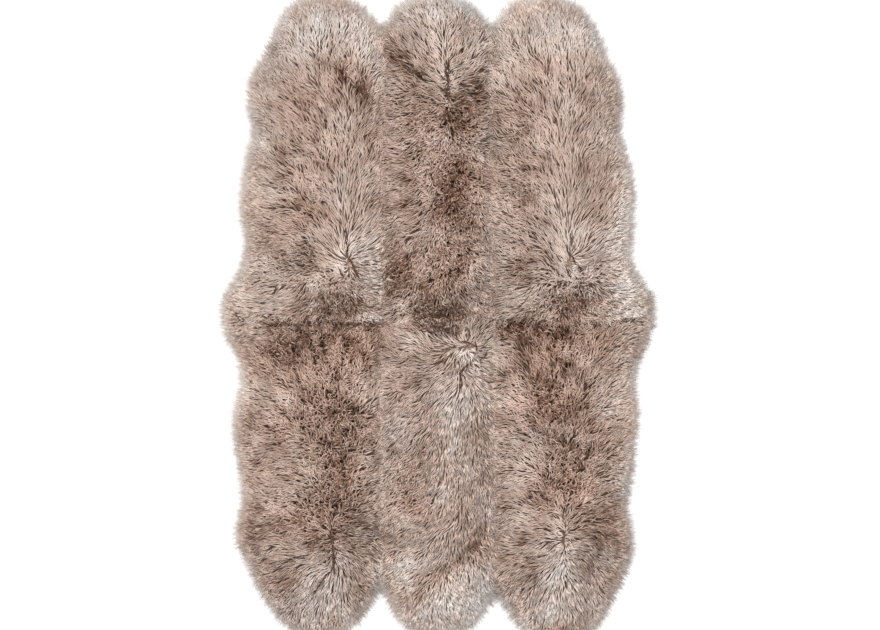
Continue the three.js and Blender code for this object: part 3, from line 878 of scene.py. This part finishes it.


# Painted shade: short dark strands laid along the clefts where the wool parts and the underwool shows,
# and along the middle seam as its painted shadow.
# Columns: x and y of both ends, width, spread to the sides.
shade_lines = (
    (-256, 247, -253, 206, 3, 1),
    (-253, 206, -250, 168, 4, 1),
    (-250, 168, -236, 148, 5, 1),
    (-236, 148, -225, 118, 4, 1),
    (-346, 143, -308, 126, 3, 2),
    (-275, 137, -267, 121, 4, 1),
    (-311, 91, -267, 99, 3, 1.5),
    (-322, 71, -316, 44, 3, 2),
    (-242, 69, -234, 41, 4, 2),
    (-456, 69, -446, 80, 3, 1),
    (363, 236, 366, 198, 3, 1),
    (357, 184, 377, 157, 4, 1),
    (385, 148, 399, 118, 4, 1),
    (349, 143, 360, 115, 3, 1),
    (322, 132, 333, 118, 3, 1),
    (404, 90, 424, 93, 5, 1.5),
    (368, 85, 399, 85, 3, 1),
    (324, 96, 363, 99, 3, 1.5),
    (388, 60, 396, 47, 4, 1.5),
    (28, 714, 25, 690, 5, 1),
    (14, 682, 25, 671, 3, 1),
    (39, 682, 25, 671, 3, 1),
    (27, 671, 27, 632, 3, 1),
    (-94, 687, -44, 668, 3, 3),
    (-300, 696, -262, 672, 3, 8),
    (-262, 672, -218, 634, 3, 9),
    (-215, 634, -200, 604, 3, 6),
    (-5, 638, 39, 608, 3, 2),
    (30, 517, 47, 506, 4, 2),
    (113, 481, 140, 500, 3, 1.5),
    (102, -66, 105, -82, 5, 1.5),
    (66, -66, 99, -74, 3, 1),
    (22, -82, 52, -80, 3, 1.5),
    (82, -126, 63, -148, 5, 1),
    (63, -148, 62, -192, 4, 1),
    (47, -107, 44, -124, 3, 1),
    (116, -116, 129, -104, 4, 1),
    (-11, -129, 11, -118, 3, 1),
    (80, -28, 85, -41, 4, 1),
    (-291, -624, -290, -650, 4, 1),
    (-291, -655, -289, -694, 6, 1),
    (-316, -723, -341, -753, 4, 1),
    (-344, -616, -319, -602, 3, 2),
    (-421, -668, -366, -654, 3, 3),
    (-291, -487, -275, -509, 3, 2),
    (239, -666, 294, -654, 3, 3),
    (294, -635, 316, -627, 3, 1),
    (344, -481, 347, -500, 3, 2),
    (245, -473, 270, -478, 3, 1),
    # From here the lines lie along the middle seam: its painted shadow under the upper row's wool.
    (-588, 26, -540, -4, 3, 2),
    (-450, -8, -400, -16, 3, 6),
    (-380, -14, -320, -8, 4, 6),
    (-290, -10, -250, -18, 4, 5),
    (-230, -18, -175, -10, 3, 5),
    (-60, 22, 80, 32, 3, 9),
    (-62, 8, 84, 12, 3, 9),
    (-60, -8, 84, -10, 3, 9),
    (-52, -22, 80, -26, 3, 8),
    (-46, -36, 66, -40, 3, 6),
    (170, -6, 230, -12, 3, 6),
    (270, -14, 330, -6, 4, 6),
    (380, -8, 430, -16, 3, 5),
    (500, -8, 570, -12, 3, 4),
)


def shade_line_strands(index):
    """Short dark strands of painted shade that lie along the clefts and the middle seam on one skin."""
    paths, widths = [], []
    for x1, y1, x2, y2, wide, spread in np.array(shade_lines) * mm:
        column = round(((x1 + x2) / 2 - grid_x[0]) / cell)
        row = round(((y1 + y2) / 2 - grid_y[0]) / cell)
        if skin_of[row, column] != index:
            continue
        reach = math.hypot(x2 - x1, y2 - y1)
        count = 2 + round(reach / (6 * mm))
        size = random.uniform(12, 22, count) * mm
        heading = math.atan2(y2 - y1, x2 - x1) + random.normal(0, 0.15 + 0.04 * spread / mm, count)
        start = np.linspace(-0.1, 0.85, count) * reach + random.uniform(-3, 3, count) * mm
        aside = random.uniform(-1, 1, count) * spread
        root_x = x1 + ((x2 - x1) * start - (y2 - y1) * aside) / reach
        root_y = y1 + ((y2 - y1) * start + (x2 - x1) * aside) / reach
        along = size[:, None] * rim_stations
        paths.append(np.stack((
            root_x[:, None] + np.cos(heading)[:, None] * along,
            root_y[:, None] + np.sin(heading)[:, None] * along,
        ), 2))
        widths.append(np.full(count, wide) * random.uniform(0.6, 1.1, count))
    flat = np.concatenate(paths)
    sunk = np.interp(rim_stations, (0, 0.5, 1), (0.95, 1.05, 0.98))
    path = np.concatenate((flat, (lie_at(height, flat[:, :, 0], flat[:, :, 1]) * sunk)[:, :, None]), 2)
    count = len(path)
    light = np.tile(random.uniform(0.02, 0.14, (count, 1)), (1, 3))
    ring_width = np.concatenate(widths)[:, None] * np.array((0.3, 1, 0))
    return built_strands(path, ring_width, light, random.uniform(0.4, 0.8, count))


def strand_faces(count, stations, first):
    """The faces of a number of strands whose points follow one another from the first."""
    rings = len(stations) - 1
    sides = ((0, 1), (1, 2), (2, 0))
    quads = [
        (near + a, near + b, near + 3 + b, near + 3 + a)
        for near in range(0, 3 * rings - 3, 3)
        for a, b in sides
    ]
    last = 3 * rings - 3
    triangles = [(last + a, last + b, last + 3) for a, b in sides] + [(2, 1, 0)]
    starts = first + np.arange(count)[:, None, None] * (3 * rings + 1)
    quads = (starts + np.array(quads, int)).reshape(-1, 4)
    triangles = (starts + np.array(triangles, int)).reshape(-1, 3)
    return quads, triangles


# The fleece takes its colour from the wool's own map: how light across, how warm up.
wool_map = "OFBake"
fleece, tree, shader = new_material("fleece")
shader.inputs["Roughness"].default_value = 0.8
shader.inputs["Specular IOR Level"].default_value = 0.1
strand_map = tree.nodes.new("ShaderNodeUVMap")
strand_map.uv_map = wool_map
split = tree.nodes.new("ShaderNodeSeparateXYZ")
tree.links.new(strand_map.outputs["UV"], split.inputs["Vector"])
fleece_stops = [
    (0.0, (0.06, 0.028, 0.017)),
    (0.3, (0.26, 0.162, 0.116)),
    (0.5, (0.52, 0.395, 0.33)),
    (0.7, (0.72, 0.59, 0.52)),
    (1.0, (0.92, 0.85, 0.8)),
]
fleece_colour = colour_ramp(tree, split.outputs["X"], fleece_stops)
tint_stops = [(0.15, (0.9, 0.95, 0.98)), (0.5, (1, 0.975, 0.96)), (0.85, (1, 0.88, 0.82))]
tint = colour_ramp(tree, split.outputs["Y"], tint_stops)
tinted = tree.nodes.new("ShaderNodeMix")
tinted.data_type = "RGBA"
tinted.blend_type = "MULTIPLY"
tinted.inputs["Factor"].default_value = 1
tree.links.new(fleece_colour, tinted.inputs["A"])
tree.links.new(tint, tinted.inputs["B"])
tree.links.new(tinted.outputs["Result"], shader.inputs["Base Color"])


def roots(name, spacing):
    """Scattered places whose wool is one skin's, with their distance in from the rug's rim."""
    low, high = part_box("skin_" + name)
    x, y = scattered(low, high, spacing)
    column = np.clip(((x - grid_x[0]) / cell).round().astype(int), 0, len(grid_x) - 1)
    row = np.clip(((y - grid_y[0]) / cell).round().astype(int), 0, len(grid_y) - 1)
    near = skin_of[row, column] == skin_names.index(name)
    x, y = x[near], y[near]
    return x, y, lie_at(distance, x, y)


for name in skin_names:
    x, y, from_rim = roots(name, strand_spacing)
    # More strands grow where the wool is curly and along the partings.
    thicker = ((curl[name], 0.5, curly_spacing), (parted[name], 0.4, parting_spacing))
    for quality, least, spacing in thicker:
        more_x, more_y, more_from_rim = roots(name, spacing)
        extra = lie_at(quality, more_x, more_y) > least
        x, y = np.append(x, more_x[extra]), np.append(y, more_y[extra])
        from_rim = np.append(from_rim, more_from_rim[extra])
    on_skin = from_rim > 0
    x, y, from_rim = x[on_skin], y[on_skin], from_rim[on_skin]
    growth = []
    curly = lie_at(curl[name], x, y) > 0.5
    for chosen, stations in ((curly, strand_stations), (~curly, rim_stations)):
        root_x, root_y = x[chosen], y[chosen]
        wild = lie_at(curl[name], root_x, root_y)
        rim_share = np.clip(1 - from_rim[chosen] / rim_band, 0, 1)
        length = (54 - 29 * wild) * mm * random.uniform(0.7, 1.2, len(wild))
        length = length * (1 - 0.3 * rim_share)
        width = random.uniform(3.4, 5, len(wild)) * mm * (1 - 0.6 * rim_share) * (1 + 0.1 * wild)
        pull = 0.42 - 0.38 * rim_share[:, None]
        strands = grown(name, root_x, root_y, length, width, pull, 0.06 * rim_share, stations)
        growth.append((strands, stations))
    x, y, from_rim = roots(name, rim_spacing)
    on_rim = (from_rim > -5 * mm) & (from_rim < 10 * mm)
    x, y = x[on_rim], y[on_rim]
    length = random.uniform(18, 54, len(x)) * mm
    width = random.uniform(1, 1.7, len(x)) * mm
    hairs = grown(name, x, y, length, width, 0, np.full(len(x), 0.14), hair_stations)
    growth.append((hairs, hair_stations))
    growth.append((shade_line_strands(skin_names.index(name)), rim_stations))
    all_quads, all_triangles, all_points, all_colours = [], [], [], []
    first = 0
    for (strand_points, strand_colours), stations in growth:
        quads, triangles = strand_faces(len(strand_points), stations, first)
        all_quads.append(quads)
        all_triangles.append(triangles)
        all_points.append(strand_points.reshape(-1, 3))
        all_colours.append(strand_colours.reshape(-1, 2))
        first += len(all_points[-1])
    quads, triangles = np.concatenate(all_quads), np.concatenate(all_triangles)
    points, colours = np.concatenate(all_points), np.concatenate(all_colours)
    mesh = bpy.data.meshes.new("wool_" + name)
    mesh.from_pydata(points, [], quads.tolist() + triangles.tolist())
    corner_points = np.concatenate((quads.ravel(), triangles.ravel()))
    mesh.uv_layers.new(name=wool_map)
    mesh.uv_layers[wool_map].data.foreach_set("uv", colours[corner_points].ravel())
    mesh.shade_smooth()
    mesh.materials.append(fleece)
    wool = bpy.data.objects.new("wool_" + name, mesh)
    bpy.context.scene.collection.objects.link(wool)
    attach(wool, "root")
    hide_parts("skin_" + name)

# Floor, light and camera: a plain white floor, a soft bright room and the camera straight above.
# They are the place where the rug is shown, and no part of it.
floor_radius = 60
picture_width = 2.42
picture_middle = (0.0046, 0.0079)
lens = 70
sensor = 36
wool_top = 0.045

floor_shape = bmesh.new()
bmesh.ops.create_circle(floor_shape, cap_ends=True, segments=64, radius=floor_radius)
floor_mesh = bpy.data.meshes.new("floor")
floor_shape.to_mesh(floor_mesh)
floor_shape.free()
floor = bpy.data.objects.new("floor", floor_mesh)
bpy.context.scene.collection.objects.link(floor)
floor_paint, tree, shader = new_material("floor_paint")
shader.inputs["Base Color"].default_value = (0.95, 0.95, 0.95, 1)
shader.inputs["Roughness"].default_value = 0.9
shader.inputs["Specular IOR Level"].default_value = 0
floor_mesh.materials.append(floor_paint)

world = bpy.data.worlds.new("room")
world.use_nodes = True
world.node_tree.nodes["Background"].inputs["Color"].default_value = (1, 1, 1, 1)
world.node_tree.nodes["Background"].inputs["Strength"].default_value = 0.8
bpy.context.scene.world = world

key = bpy.data.lights.new("key", "SUN")
key.energy = 2.2
key.angle = math.radians(25)
key_light = bpy.data.objects.new("key", key)
key_light.rotation_euler = (math.radians(-30), math.radians(-22), 0)
bpy.context.scene.collection.objects.link(key_light)

camera = bpy.data.cameras.new("camera")
camera.lens = lens
camera.sensor_width = sensor
camera_object = bpy.data.objects.new("camera", camera)
camera_object.location = (*picture_middle, wool_top + picture_width * lens / sensor)
bpy.context.scene.collection.objects.link(camera_object)
bpy.context.scene.camera = camera_object
bpy.context.scene.view_settings.view_transform = "Standard"
